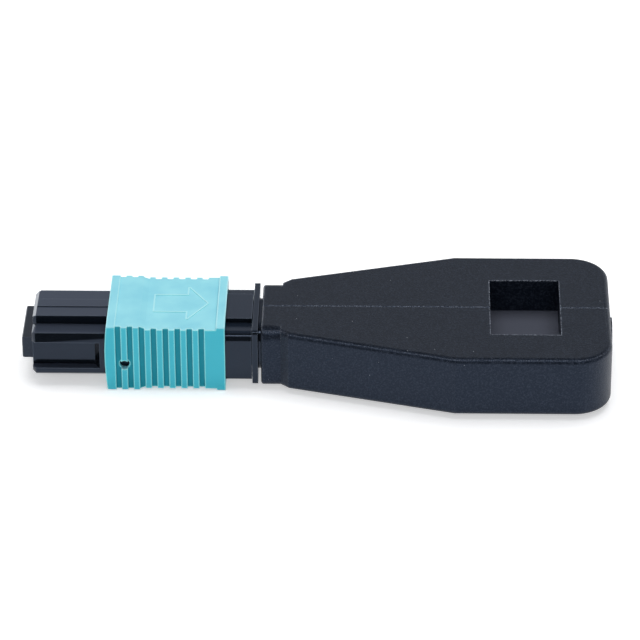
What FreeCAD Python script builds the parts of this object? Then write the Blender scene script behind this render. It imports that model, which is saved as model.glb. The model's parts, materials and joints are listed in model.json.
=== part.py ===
# Fibre loopback connector with a 12-fibre push-pull multi-fibre plug.
# Frame, in millimetres: +X runs along the plug axis from the mating face of the
# ferrule to the rear of the body, +Y is across the wide face and +Z is up, on the
# key side. The origin is the middle of the ferrule's mating face.
import FreeCAD, Part
import math
import os
from FreeCAD import Vector as V

# ---- fits -------------------------------------------------------------------
slideClearance = 0.08      # sleeve on plug housing, ferrule in plug housing
seatClearance = 0.05       # pieces that sit still in each other
pinClearance = 0.05        # radial, locating pins in their sockets
fibreClearance = 0.20      # bare fibres past moulded walls
springRoom = 0.15          # above and below a spring in its channel

# ---- ferrule and what it carries ---------------------------------------------
ferruleWidth = 7.3
ferruleHeight = 2.8
ferruleLength = 8.0
ferruleEdge = 0.12         # chamfer round the mating face
shoulderStep = 0.1         # the shoulder stands this far out at each side
shoulderRise = 0.25        # and this far above and below
shoulderLength = 1.8
guideHoleRadius = 0.35
guideHolePitch = 4.6
glueWindowLength = 2.2
glueWindowWidth = 3.4
glueWindowStart = 2.4      # from the mating face
bootWidth = 3.5
bootHeight = 1.5
bootLength = 4.2
bootDepth = 2.6            # how far the boot goes into the ferrule
bootEdgeRadius = 0.4
keeperThickness = 1.2
keeperEdgeRadius = 0.4
fibreRadius = 0.12         # over the coating
fibrePitch = 0.25
fibrePairs = 6
ribbonThickness = 0.30
ribbonSide = 0.05          # coating outside the outermost fibres
ribbonRound = 0.49         # share of the thickness: the ribbon's edges are almost fully round

# ---- plug housing -----------------------------------------------------------
housingFront = 1.3         # the ferrule stands this far out of the housing
housingHalfHeight = 3.77   # where the sleeve runs
headRise = 0.2             # the exposed head is this much taller, above and below
ridgeHalfWidth = 2.87      # raised middle of the top and bottom faces
shelfDrop = 1.15
shelfSlope = 0.3           # the shelf ends this far inside the side face
sideTop = 1.52             # where the upper slope meets the side face
sideBottom = -2.3
frontBevel = 0.42
keyHalfWidth = 0.85
keyHeight = 0.12
wallBeside = 0.47          # plug wall left between the bay and the latch recess
latchRecessDepth = 1.0
latchRecessLength = 7.45
latchRampLength = 0.62
latchRecessTop = 1.6
latchRecessBottom = -1.87
latchLand = 0.93           # from the ramp to the sleeve
bayHalfHeight = 2.35
collarLength = 3.65        # wider rear collar that closes the housing
collarOverlap = 0.5        # of the collar under the sleeve at rest
collarStep = 0.4           # wider than the housing at each side
collarHalfHeight = 3.15
collarTopRadius = 1.1
collarBottomRadius = 0.4

# ---- coupling sleeve --------------------------------------------------------
sleeveLength = 14.1
sleeveSideWall = 0.82
sleeveTopWall = 0.55
sleeveEdgeRadius = 0.3
sleeveBow = 0.25           # the front end bulges this far at half height
flangeLength = 1.05        # raised bands at both ends of the top and bottom
rearBandLength = 2.45      # plain band behind the last groove
panelHighDrop = 0.08       # front part of the panel, below the flanges
panelLowDrop = 0.34        # rear part of the panel
panelRampStart = 3.9       # from the sleeve's front
panelRampLength = 0.7
grooveCount = 8
grooveWidth = 0.66
grooveDepth = 0.4
sightHoleRadius = 0.6
sightHoleHeight = -0.88
sleeveTravel = 1.8
arrowGapFront = 0.9        # from the panel's ramp to the arrow
arrowGapRear = 1.25        # from the arrow's tip to the rear flange
arrowHeadLength = 2.3
arrowShaftHalfWidth = 1.9
arrowHeadHalfWidth = 3.6
arrowLine = 0.17
arrowHeight = 0.07

# ---- springs ----------------------------------------------------------------
sideSpringWire = 0.18
sideSpringDiameter = 1.1   # over the wire
sideSpringTurns = 5
tabLength = 0.7            # sleeve tab that pushes the side spring
channelSetBack = 4.3       # from the sleeve's front to the spring channel
channelEndWall = 0.5       # between the channel and the latch window
ferruleSpringWire = 0.42
ferruleSpringWidth = 5.4   # over the wire
ferruleSpringHeight = 3.3
ferruleSpringLength = 8.1
ferruleSpringTurns = 4
coilEndRoom = 0.02         # between a spring's last turn and its seat

# ---- spring push ------------------------------------------------------------
tubeRimWide = 0.2          # seat of the ferrule spring, wider than the spring at each side
tubeRimHigh = 0.1          # and above and below
tubeEdgeRadius = 0.5
ribbonWayWidth = 3.8
ribbonWayHeight = 1.3
latchWindowSetBack = 1.4   # from the latch window to the collar behind it
latchWindowLength = 1.2
latchWindowHalfHeight = 1.1
armLength = 1.7            # from the latch window to the block it grows from
armThickness = 0.55
armRoot = 0.2              # of the arm in its block
armGap = 0.1               # above and below the arm in its window
hookDepth = 0.4            # the hook ends this far inside the side face
hookFlat = 0.4
pushFlangeThickness = 0.7
pushFlangeStep = 0.2       # wider than the collar at each side
pushFlangeDrop = 0.07      # lower than the ridge of the housing
pushFlangeRadius = 0.5
tailHalfWidth = 4.5
tailReach = 4.55           # of the tail into the body
tailCornerRadius = 2.0
tailCollarStep = 0.35
tailCollarPlace = 1.75     # from the front of the body
tailCollarLength = 1.0

# ---- body shells ------------------------------------------------------------
bodyGap = 0.35             # open slit between the flange and the body
neckLength = 2.35
neckSideWall = 1.05
neckTopWall = 0.4
neckEdgeRadius = 1.5
neckLowerRadius = 0.8
neckFrontRadius = 0.3
stepLength = 0.9
stepWidth = 0.77           # from the neck out to the start of the taper
taperLength = 19.8
wideLength = 18.6
bodyHalfWidth = 12.14
bodyHalfHeight = 3.85
bodyCornerRadius = 4.5
bodyEdgeRadius = 0.65
bodyWall = 1.2
pocketRear = 6.0           # from the pocket to the rear end
pocketLength = 8.35
pocketHalfWidth = 6.3
pocketWall = 1.0
seamGroove = 0.09          # depth of the fine V along the joint of the shells
endDiscRadius = 2.2
endDiscHeight = 0.28
pinRadius = 0.6
pinLength = 1.4
pinRoot = 0.5              # of the pin in its own shell
pinBlockLength = 4.0
pinBlockThickness = 1.8
pinBlockPlaces = (6.5, 16.5)  # from the neck
pinBlockRoom = 0.75        # left above the level of the ribbon
rearBlockLap = 0.2         # of the rear pin block in the pocket's wall
rearBlockRoom = 0.5        # left above the space of the loops

# ---- fibre loops ------------------------------------------------------------
loopSpace = 1.2            # height of the space under the pocket that holds the loops
loopSideRoom = 0.89        # from the outermost fibre to the side wall
loopRearRoom = 0.65        # and to the rear wall
loopSpacingLeast = 0.5
fanGap = 0.02              # left between neighbouring fibres where the fan is steepest
fanLead = 1.2              # straight start of the fan behind the tail
fanStraight = 3.0          # straight end of the fan before the turn
fanTubeLength = 3.9
fanTubeWall = 0.35
fanTubeEdge = 0.5
fanTubeInnerEdge = 0.2
fanTubeSideRoom = 0.4      # inside the tube, beside the fibres
fanTubeHighRoom = 0.3      # and above and below
guideHeight = 1.0
guideLength = 10.9         # from the turn's centre to the narrow tail
guideTailHalfWidth = 4.2
formerHoleRadius = 2.0

# ---- values that follow from the ones above -----------------------------------
shoulderWidth = ferruleWidth + 2 * shoulderStep
shoulderHeight = ferruleHeight + 2 * shoulderRise
ribbonWidth = 2 * (fibrePairs * fibrePitch + ribbonSide)
keeperFront = ferruleLength
springSeat = keeperFront + keeperThickness
pushFront = springSeat + ferruleSpringLength
pushTubeWidth = ferruleSpringWidth + 2 * tubeRimWide
pushTubeHeight = ferruleSpringHeight + 2 * tubeRimHigh
bayFront = ferruleLength - shoulderLength - seatClearance
bayHalfWidth = shoulderWidth / 2 + slideClearance
housingHalfWidth = bayHalfWidth + wallBeside + latchRecessDepth
shelfHeight = housingHalfHeight - shelfDrop
shelfHalfWidth = housingHalfWidth - shelfSlope
collarHalfWidth = housingHalfWidth + collarStep
latchRecessEnd = housingFront + latchRecessLength
sleeveFront = latchRecessEnd + latchRampLength + latchLand
sleeveEnd = sleeveFront + sleeveLength
sleeveWidth = 2 * (housingHalfWidth + slideClearance + sleeveSideWall)
sleeveHeight = 2 * (housingHalfHeight + slideClearance + sleeveTopWall)
groovePitch = (sleeveLength - flangeLength - rearBandLength - grooveWidth) / (grooveCount - 1)
collarFront = sleeveEnd - collarOverlap
housingEnd = collarFront + collarLength
latchWindowFront = collarFront - latchWindowSetBack
latchWindowEnd = latchWindowFront + latchWindowLength
plugBlockFront = latchWindowEnd + armLength
channelFront = sleeveFront + channelSetBack
channelEnd = latchWindowFront - channelEndWall
channelHalfHeight = sideSpringDiameter / 2 + springRoom
channelFloor = housingHalfWidth - sideSpringDiameter - seatClearance
pushFlangeHalfWidth = collarHalfWidth + pushFlangeStep
pushFlangeHalfHeight = housingHalfHeight - pushFlangeDrop
flangeFront = housingEnd + seatClearance
flangeBack = flangeFront + pushFlangeThickness
bodyFront = flangeBack + bodyGap
neckEnd = bodyFront + neckLength
taperEnd = neckEnd + stepLength + taperLength
bodyEnd = taperEnd + wideLength
tailEnd = bodyFront + tailReach
tailCollarFront = bodyFront + tailCollarPlace
tailHalfHeight = bodyHalfHeight - neckTopWall - seatClearance - tailCollarStep
neckHalfWidth = tailHalfWidth + tailCollarStep + seatClearance + neckSideWall
taperStartHalfWidth = neckHalfWidth + stepWidth
taperAngle = math.atan2(bodyHalfWidth - taperStartHalfWidth, taperLength)
cavityHalfHeight = bodyHalfHeight - bodyWall
pocketFloor = -cavityHalfHeight + loopSpace + pocketWall
pocketStart = bodyEnd - pocketRear - pocketLength
loopRadiusMax = bodyHalfWidth - bodyWall - loopSideRoom
loopCentre = bodyEnd - bodyWall - loopRearRoom - loopRadiusMax
loopLevel = -cavityHalfHeight + loopSpace / 2
fanStart = tailEnd + fanLead
fanEnd = loopCentre - fanStraight
fanReach = loopRadiusMax - fibrePitch * (fibrePairs - 0.5)  # of the outermost fibre, sideways
fanSlope = 2 * math.atan2(fanReach, fanEnd - fanStart)
# half way out the fibres are the mean of both spacings apart, less by the slope of the fan
loopSpacing = max(loopSpacingLeast, 2 * (2 * fibreRadius + fanGap) / math.cos(fanSlope) - fibrePitch)
loopRadiusMin = loopRadiusMax - (fibrePairs - 1) * loopSpacing
guideTail = loopCentre - guideLength


def box(x0, x1, y0, y1, z0, z1):
    return Part.makeBox(x1 - x0, y1 - y0, z1 - z0, V(x0, y0, z0))


def block(x0, x1, halfWidth, halfHeight):
    return box(x0, x1, -halfWidth, halfWidth, -halfHeight, halfHeight)


def prism(section, x0, x1):
    # a closed outline of (y, z) points carried along X
    wire = Part.makePolygon([V(x0, y, z) for y, z in section + section[:1]])
    return Part.Face(wire).extrude(V(x1 - x0, 0, 0))


def plate(outline, z0, z1):
    # a closed outline of (x, y) points carried along Z
    wire = Part.makePolygon([V(x, y, z0) for x, y in outline + outline[:1]])
    return Part.Face(wire).extrude(V(0, 0, z1 - z0))


def mirrored(half):
    # completes an outline given on the +Y side, from top to bottom
    return half + [(-y, z) for y, z in reversed(half) if y > 0]


def alongX(edge, x0, x1):
    limits = edge.BoundBox
    straight = limits.YLength < 1e-6 and limits.ZLength < 1e-6
    return straight and limits.XMin > x0 - 1e-6 and limits.XMax < x1 + 1e-6


def softBlock(x0, x1, halfWidth, halfHeight, radius, lowerRadius=None):
    # a block with its four long edges rounded, the lower two by a radius of their own if given
    solid = block(x0, x1, halfWidth, halfHeight)
    for upper, size in ((True, radius), (False, lowerRadius or radius)):
        edges = [e for e in solid.Edges if alongX(e, x0, x1) and (e.BoundBox.ZMin > 0) == upper
                 and abs(abs(e.BoundBox.ZMin) - halfHeight) < 1e-6]
        solid = solid.makeFillet(size, edges)
    return solid


def mirrorY(solid):
    return solid.mirror(V(0, 0, 0), V(0, 1, 0))


def housingSection(grow=0.0, rise=0.0):
    # raised middle, shelf, slope and side face; the same below with a short slope
    lift = grow + rise
    half = [
        (ridgeHalfWidth + grow, housingHalfHeight + lift),
        (ridgeHalfWidth + grow, shelfHeight + lift),
        (shelfHalfWidth + grow, shelfHeight + lift),
        (housingHalfWidth + grow, sideTop + lift),
        (housingHalfWidth + grow, sideBottom - lift),
        (shelfHalfWidth + grow, -shelfHeight - lift),
        (ridgeHalfWidth + grow, -shelfHeight - lift),
        (ridgeHalfWidth + grow, -housingHalfHeight - lift),
    ]
    return mirrored(half)


def collarSolid(x0, x1, grow=0.0):
    wide = softBlock(x0, x1, collarHalfWidth + grow, collarHalfHeight + grow,
                     collarTopRadius, collarBottomRadius)
    return wide.fuse(block(x0, x1, ridgeHalfWidth + grow, housingHalfHeight + grow))


def bowedEnd(grow=0.0):
    # everything behind the sleeve's front end, which bulges forward as part of a large drum
    halfHeight = sleeveHeight / 2
    radius = (halfHeight ** 2 + sleeveBow ** 2) / (2 * sleeveBow)
    centre = V(sleeveFront - sleeveBow + radius, -sleeveWidth, 0)
    return Part.makeCylinder(radius + grow, 2 * sleeveWidth, centre, V(0, 1, 0))


def makeFerrule():
    front = block(0, ferruleLength, ferruleWidth / 2, ferruleHeight / 2)
    rim = [e for e in front.Edges if e.BoundBox.XMax < 1e-6]
    front = front.makeChamfer(ferruleEdge, rim)
    shoulder = block(ferruleLength - shoulderLength, ferruleLength, shoulderWidth / 2, shoulderHeight / 2)
    ferrule = front.fuse(shoulder).removeSplitter()
    mouth = block(ferruleLength - bootDepth, ferruleLength, bootWidth / 2 + seatClearance,
                  bootHeight / 2 + seatClearance)
    ribbonWay = block(glueWindowStart, ferruleLength, ribbonWidth / 2 + seatClearance,
                      ribbonThickness / 2 + seatClearance)
    window = box(glueWindowStart, glueWindowStart + glueWindowLength, -glueWindowWidth / 2,
                 glueWindowWidth / 2, 0, ferruleHeight)
    ferrule = ferrule.cut(mouth.fuse(ribbonWay)).cut(window)
    for side in (-1, 1):
        place = V(-1, side * guideHolePitch / 2, 0)
        ferrule = ferrule.cut(Part.makeCylinder(guideHoleRadius, ferruleLength + 2, place, V(1, 0, 0)))
    return ferrule


def makeKeeper():
    # spacer behind the ferrule of a plug that has guide holes and no pins: it closes the holes
    spacer = softBlock(keeperFront, springSeat, shoulderWidth / 2 - seatClearance, shoulderHeight / 2,
                       keeperEdgeRadius)
    return spacer.cut(block(keeperFront - 1, springSeat + 1, bootWidth / 2 + seatClearance,
                            bootHeight / 2 + seatClearance))


def makeBoot():
    start = ferruleLength - bootDepth + seatClearance
    boot = softBlock(start, start + bootLength, bootWidth / 2, bootHeight / 2, bootEdgeRadius)
    return boot.cut(block(start - 1, start + bootLength + 1, ribbonWidth / 2 + seatClearance,
                          ribbonThickness / 2 + seatClearance))


def makeHousing():
    # bevelled head that stops the sleeve, long body and a wider collar at the rear
    head = housingSection(rise=headRise)
    shrink = 1 - frontBevel / housingHalfWidth
    small = [(y * shrink, z * shrink) for y, z in head]
    wires = []
    for x, section in ((housingFront, small), (housingFront + frontBevel, head)):
        wires.append(Part.makePolygon([V(x, y, z) for y, z in section + section[:1]]))
    nose = Part.makeLoft(wires, True, True)
    key = box(housingFront + frontBevel, sleeveFront, -keyHalfWidth, keyHalfWidth,
              0, housingHalfHeight + headRise + keyHeight)
    exposed = prism(head, housingFront + frontBevel, sleeveFront).fuse(key).cut(bowedEnd(seatClearance))
    solid = nose.fuse([exposed, prism(housingSection(), sleeveFront - 1, collarFront),
                       collarSolid(collarFront, housingEnd)]).removeSplitter()
    opening = block(housingFront - 1, bayFront + 1, ferruleWidth / 2 + slideClearance,
                    ferruleHeight / 2 + slideClearance)
    bay = block(bayFront, housingEnd + 1, bayHalfWidth, bayHalfHeight)
    solid = solid.cut(opening.fuse(bay))
    floor = housingHalfWidth - latchRecessDepth
    recess = plate([
        (housingFront - 1, floor), (latchRecessEnd, floor),
        (latchRecessEnd + latchRampLength, housingHalfWidth),
        (latchRecessEnd + latchRampLength, housingHalfWidth + 1),
        (housingFront - 1, housingHalfWidth + 1),
    ], latchRecessBottom, latchRecessTop)
    channel = box(channelFront, channelEnd, channelFloor, housingHalfWidth + 1,
                  -channelHalfHeight, channelHalfHeight)
    latchWindow = box(latchWindowFront, latchWindowEnd, bayHalfWidth - 1, housingHalfWidth + 1,
                      -latchWindowHalfHeight, latchWindowHalfHeight)
    for tool in (recess, channel, latchWindow):
        solid = solid.cut(tool).cut(mirrorY(tool))
    return solid


def sleevePanelTool():
    # the step and ramp sunk into the top face between the end flanges
    top = sleeveHeight / 2
    start = sleeveFront + flangeLength
    ramp = sleeveFront + panelRampStart
    profile = [
        (start, top - panelHighDrop), (ramp, top - panelHighDrop),
        (ramp + panelRampLength, top - panelLowDrop), (sleeveEnd - flangeLength, top - panelLowDrop),
        (sleeveEnd - flangeLength, top + 1), (start, top + 1),
    ]
    wire = Part.makePolygon([V(x, -sleeveWidth, z) for x, z in profile + profile[:1]])
    return Part.Face(wire).extrude(V(0, 2 * sleeveWidth, 0))


def sleeveArrow():
    # a plain outline that points the way the sleeve is pulled
    level = sleeveHeight / 2 - panelLowDrop
    start = sleeveFront + panelRampStart + panelRampLength + arrowGapFront
    tip = sleeveEnd - flangeLength - arrowGapRear
    neck = tip - arrowHeadLength
    half = [(start, arrowShaftHalfWidth), (neck, arrowShaftHalfWidth), (neck, arrowHeadHalfWidth)]
    corners = [V(x, y, level) for x, y in half + [(tip, 0)] + [(x, -y) for x, y in reversed(half)]]
    inner = Part.makePolygon(corners + corners[:1])
    outer = inner.makeOffset2D(arrowLine)
    rise = V(0, 0, arrowHeight)
    return Part.Face(outer).extrude(rise).cut(Part.Face(inner).extrude(rise))


def makeSleeve():
    solid = softBlock(sleeveFront - sleeveBow, sleeveEnd, sleeveWidth / 2, sleeveHeight / 2, sleeveEdgeRadius)
    solid = solid.common(bowedEnd())
    panel = sleevePanelTool()
    solid = solid.cut(panel).cut(panel.mirror(V(0, 0, 0), V(0, 0, 1)))
    firstGroove = sleeveFront + flangeLength
    floor = sleeveWidth / 2 - grooveDepth
    for number in range(grooveCount):
        x = firstGroove + number * groovePitch
        groove = box(x, x + grooveWidth, floor, floor + 1, -sleeveHeight, sleeveHeight)
        solid = solid.cut(groove).cut(mirrorY(groove))
    # the inside follows the plug housing, and its collar where the two meet when pulled
    collarRoom = collarFront - sleeveTravel - slideClearance
    solid = solid.cut(prism(housingSection(slideClearance), sleeveFront - 1, sleeveEnd + 1))
    solid = solid.cut(collarSolid(collarRoom, sleeveEnd + 1, slideClearance))
    ribCentre = firstGroove + (grooveWidth + groovePitch) / 2
    hole = Part.makeCylinder(sightHoleRadius, sleeveWidth / 2, V(ribCentre, 0, sightHoleHeight), V(0, -1, 0))
    solid = solid.cut(hole)
    tab = box(channelFront + seatClearance, channelFront + seatClearance + tabLength,
              channelFloor + fibreClearance, housingHalfWidth + 2 * slideClearance,
              -channelHalfHeight + slideClearance, channelHalfHeight - slideClearance)
    solid = solid.fuse([tab, mirrorY(tab), sleeveArrow()])
    return solid.removeSplitter()


def wireSection(centre, heading, diameter, sides=6):
    # outline of a thin wire or fibre, with a few flats in place of its full round
    aside = V(1, 0, 0) if abs(heading.x) < 0.7 else V(0, 0, 1)
    across = heading.cross(aside).normalize() * (diameter / 2)
    up = heading.cross(across).normalize() * (diameter / 2)
    turn = [2 * math.pi * side / sides for side in range(sides)]
    corners = [centre + across * math.cos(a) + up * math.sin(a) for a in turn]
    return Part.makePolygon(corners + corners[:1])


def makeCoil(x0, x1, width, height, wire, turns, offsetY=0.0, perTurn=8):
    # a helix along X whose turns are ovals of the given size over the wire
    inset = wire / 2 + coilEndRoom
    halfWidth, halfHeight = (width - wire) / 2, (height - wire) / 2
    points = []
    for step in range(turns * perTurn + 1):
        angle = 2 * math.pi * step / perTurn
        x = x0 + inset + (x1 - x0 - 2 * inset) * step / (turns * perTurn)
        points.append(V(x, offsetY + halfWidth * math.cos(angle), halfHeight * math.sin(angle)))
    curve = Part.BSplineCurve()
    curve.interpolate(points)
    heading = curve.tangent(curve.FirstParameter)[0]
    section = wireSection(points[0], heading, wire)
    return Part.Wire(curve.toShape()).makePipeShell([section], True, True)


def makePush():
    tube = softBlock(pushFront, flangeBack, pushTubeWidth / 2, pushTubeHeight / 2, tubeEdgeRadius)
    plug = block(plugBlockFront, flangeBack, bayHalfWidth - seatClearance, bayHalfHeight - seatClearance)
    flange = softBlock(flangeFront, flangeBack, pushFlangeHalfWidth, pushFlangeHalfHeight, pushFlangeRadius)
    tail = softBlock(flangeFront, tailEnd, tailHalfWidth, tailHalfHeight, tailCornerRadius)
    collar = softBlock(tailCollarFront, tailCollarFront + tailCollarLength,
                       tailHalfWidth + tailCollarStep, tailHalfHeight + tailCollarStep,
                       tailCornerRadius + tailCollarStep)
    solid = tube.fuse([plug, flange, tail, collar])
    # two spring arms with hooks that snap into the windows of the plug housing
    outside = bayHalfWidth - seatClearance
    armFront = latchWindowFront + seatClearance
    armBack = plugBlockFront + armRoot
    hookBack = latchWindowEnd - seatClearance
    hookReach = housingHalfWidth - hookDepth
    halfHeight = latchWindowHalfHeight - armGap
    arm = plate([
        (armBack, outside), (hookBack, outside), (hookBack, hookReach), (hookBack - hookFlat, hookReach),
        (armFront, outside), (armFront, outside - armThickness), (armBack, outside - armThickness),
    ], -halfHeight, halfHeight)
    solid = solid.fuse([arm, mirrorY(arm)])
    way = block(pushFront - 1, tailEnd + 1, ribbonWayWidth / 2, ribbonWayHeight / 2)
    return solid.cut(way).removeSplitter()


def bodyOutline(inset=0.0):
    # half of the plan outline: step, taper and wide end, kept inset from the outside
    slant = inset / math.cos(taperAngle)
    shoulder = neckEnd + stepLength
    turn = taperEnd + inset * math.tan(taperAngle / 2)
    return [
        (shoulder, taperStartHalfWidth - slant),
        (turn, bodyHalfWidth - inset),
        (bodyEnd - inset, bodyHalfWidth - inset),
    ]


def widePlate(outline, halfHeight, cornerRadius):
    # symmetrical plate with round rear corners
    solid = plate(outline + [(x, -y) for x, y in reversed(outline)], -halfHeight, halfHeight)
    rearX = max(x for x, y in outline)
    rear = [e for e in solid.Edges if e.BoundBox.XMin > rearX - 1e-6 and e.BoundBox.ZLength > halfHeight]
    return solid.makeFillet(cornerRadius, rear)


def bodyOutside():
    outline = [(neckEnd, neckHalfWidth)] + bodyOutline()
    wide = widePlate(outline, bodyHalfHeight, bodyCornerRadius)
    rim = [e for e in wide.Edges if e.BoundBox.ZLength < 1e-6 and e.BoundBox.XMax > neckEnd + 1e-3]
    wide = wide.makeFillet(bodyEdgeRadius, rim)
    neck = softBlock(bodyFront, neckEnd + stepLength, neckHalfWidth, bodyHalfHeight,
                     neckEdgeRadius, neckLowerRadius)
    mouth = [e for e in neck.Edges if e.BoundBox.XMax < bodyFront + 1e-6]
    neck = neck.makeFillet(neckFrontRadius, mouth)
    disc = Part.makeCylinder(endDiscRadius, bodyWall, V(bodyEnd + endDiscHeight - bodyWall, 0, 0), V(1, 0, 0))
    return wide.fuse([neck, disc]).removeSplitter()


def seamTool():
    # fine V that runs round the outside, where the two shells meet
    def bar(start, end):
        run = end - start
        across = V(0, seamGroove, 0)
        up = run.cross(V(0, 1, 0)).normalize() * seamGroove
        corners = [start + across, start + up, start - across, start - up]
        return Part.Face(Part.makePolygon(corners + corners[:1])).extrude(run)

    top = bodyHalfHeight
    front, rear = bodyFront - 0.5, bodyEnd - bodyEdgeRadius
    return [
        bar(V(front, 0, top), V(rear, 0, top)),
        bar(V(front, 0, -top), V(rear, 0, -top)),
    ]


def makeShells():
    inner = bodyOutline(bodyWall)
    inner[0] = (tailEnd, inner[0][1] + (tailEnd - inner[0][0]) * math.tan(taperAngle))
    cavity = widePlate(inner, cavityHalfHeight, bodyCornerRadius - bodyWall)
    pocket = box(pocketStart, pocketStart + pocketLength, -pocketHalfWidth, pocketHalfWidth,
                 pocketFloor, bodyHalfHeight + 1)
    pocketBlock = box(pocketStart - pocketWall, pocketStart + pocketLength + pocketWall,
                      -pocketHalfWidth - pocketWall, pocketHalfWidth + pocketWall,
                      pocketFloor - pocketWall, bodyHalfHeight)
    places = [(neckEnd + x, neckEnd + x + pinBlockLength, cavityHalfHeight - pinBlockRoom)
              for x in pinBlockPlaces]
    places.append((pocketStart + pocketLength + pocketWall - rearBlockLap, bodyEnd - bodyWall / 2,
                   2 * cavityHalfHeight - loopSpace - rearBlockRoom))
    blocks = []
    for x0, x1, depth in places:
        blocks.append(box(x0, x1, -pinBlockThickness, pinBlockThickness,
                          cavityHalfHeight - depth, cavityHalfHeight + bodyWall / 2))
    whole = bodyOutside().cut(cavity.cut(pocketBlock.fuse(blocks))).cut(pocket)
    tailFit = softBlock(bodyFront - 1, tailEnd + seatClearance, tailHalfWidth + seatClearance,
                        tailHalfHeight + seatClearance, tailCornerRadius + seatClearance)
    collarFit = softBlock(tailCollarFront - seatClearance,
                          tailCollarFront + tailCollarLength + seatClearance,
                          tailHalfWidth + tailCollarStep + seatClearance,
                          tailHalfHeight + tailCollarStep + seatClearance,
                          tailCornerRadius + tailCollarStep + seatClearance)
    whole = whole.cut(tailFit.fuse(collarFit)).cut(seamTool())
    reach = bodyHalfWidth + 1
    left = whole.common(box(bodyFront - 1, bodyEnd + 1, 0, reach, -reach, reach))
    right = whole.common(box(bodyFront - 1, bodyEnd + 1, -reach, 0, -reach, reach))
    for x0, x1, depth in places:
        place = V((x0 + x1) / 2, 0, cavityHalfHeight - depth / 2)
        pin = Part.makeCylinder(pinRadius, pinLength + pinRoot, place + V(0, pinRoot, 0), V(0, -1, 0))
        socket = Part.makeCylinder(pinRadius + pinClearance, pinLength + pinClearance, place, V(0, -1, 0))
        left = left.fuse(pin)
        right = right.cut(socket)
    return left.removeSplitter(), right.removeSplitter()


def arcBetween(start, heading, end):
    # the arc that leaves start along heading and passes through end
    chord = end - start
    side = chord - heading * chord.dot(heading)
    side.normalize()
    radius = chord.dot(chord) / (2 * chord.dot(side))
    centre = start + side * radius
    middle = ((start + end) * 0.5 - centre).normalize()
    return Part.Arc(start, centre + middle * radius, end).toShape()


def thinBar(edges, diameter):
    # lengths of fibre that follow straight runs and arcs
    pieces = []
    for edge in edges:
        start = edge.valueAt(edge.FirstParameter)
        heading = edge.tangentAt(edge.FirstParameter)
        disc = Part.Face(wireSection(start, heading, diameter))
        if isinstance(edge.Curve, Part.Line):
            pieces.append(disc.extrude(heading * edge.Length))
        else:
            arc = edge.Curve
            pieces.append(disc.revolve(arc.Center, arc.Axis, math.degrees(edge.Length / arc.Radius)))
    return pieces


def makeLoop(number):
    # one fibre: out of the ribbon, fanned out, round the guide and back
    near = fibrePitch * (number + 0.5)
    radius = loopRadiusMin + loopSpacing * number
    ahead = V(1, 0, 0)
    fan0 = V(fanStart, near, 0)
    fan1 = V(fanEnd, radius, loopLevel)
    half = (fan0 + fan1) * 0.5
    turn = V(loopCentre, radius, loopLevel)
    edges = [
        Part.makeLine(V(tailEnd + seatClearance, near, 0), fan0),
        arcBetween(fan0, ahead, half),
        arcBetween(fan1, ahead * -1, half),
        Part.makeLine(fan1, turn),
    ]
    uTurn = Part.Arc(turn, V(loopCentre + radius, 0, loopLevel), V(loopCentre, -radius, loopLevel))
    pieces = thinBar(edges, 2 * fibreRadius)
    pieces += [mirrorY(piece) for piece in pieces] + thinBar([uTurn.toShape()], 2 * fibreRadius)
    return pieces[0].fuse(pieces[1:]).removeSplitter()


def makeGuide():
    # flat former inside the loops: round nose, straight flanks, narrow tail
    nose = loopRadiusMin - fibreRadius - fibreClearance
    z0 = -cavityHalfHeight
    corners = [V(loopCentre, nose, z0), V(fanEnd, nose, z0), V(guideTail, guideTailHalfWidth, z0),
               V(guideTail, -guideTailHalfWidth, z0), V(fanEnd, -nose, z0), V(loopCentre, -nose, z0)]
    edges = [Part.makeLine(a, b) for a, b in zip(corners, corners[1:])]
    edges.append(Part.Arc(corners[-1], V(loopCentre + nose, 0, z0), corners[0]).toShape())
    solid = Part.Face(Part.Wire(edges)).extrude(V(0, 0, guideHeight))
    hole = Part.makeCylinder(formerHoleRadius, guideHeight + 2, V(loopCentre, 0, z0 - 1))
    return solid.cut(hole)


def makeFanTube():
    x0 = tailEnd + seatClearance
    x1 = x0 + fanTubeLength
    halfWidth = ribbonWidth / 2 + fanTubeSideRoom
    halfHeight = ribbonThickness / 2 + fanTubeHighRoom
    tube = softBlock(x0, x1, halfWidth + fanTubeWall, halfHeight + fanTubeWall, fanTubeEdge)
    return tube.cut(softBlock(x0 - 1, x1 + 1, halfWidth, halfHeight, fanTubeInnerEdge))


def makeRibbon():
    return softBlock(glueWindowStart + glueWindowLength, tailEnd, ribbonWidth / 2, ribbonThickness / 2,
                     ribbonThickness * ribbonRound)


def build():
    sideSpringFront = channelFront + seatClearance + tabLength
    sideSpringY = channelFloor + sideSpringDiameter / 2 + seatClearance / 2
    nodes = {
        "mt_ferrule": makeFerrule(),
        "pin_keeper": makeKeeper(),
        "ferrule_boot": makeBoot(),
        "ferrule_spring": makeCoil(springSeat, pushFront, ferruleSpringWidth, ferruleSpringHeight,
                                   ferruleSpringWire, ferruleSpringTurns),
        "plug_housing": makeHousing(),
        "coupling_sleeve": makeSleeve(),
        "spring_push": makePush(),
        "fibre_ribbon": makeRibbon(),
        "fanout_tube": makeFanTube(),
        "loop_guide": makeGuide(),
    }
    for name, side in (("left", 1), ("right", -1)):
        nodes["coupling_spring_" + name] = makeCoil(
            sideSpringFront, channelEnd, sideSpringDiameter, sideSpringDiameter, sideSpringWire,
            sideSpringTurns, side * sideSpringY)
    nodes["body_shell_left"], nodes["body_shell_right"] = makeShells()
    for number in range(fibrePairs):
        nodes["fibre_loop_%d" % (number + 1)] = makeLoop(number)
    return nodes


os.makedirs("parts", exist_ok=True)
for name, shape in build().items():
    shape.exportStep("parts/" + name + ".step")
    state = "valid" if shape.isValid() else "BAD"
    print(name, len(shape.Solids), "solid", round(shape.Volume, 3), "mm3", state)
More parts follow.
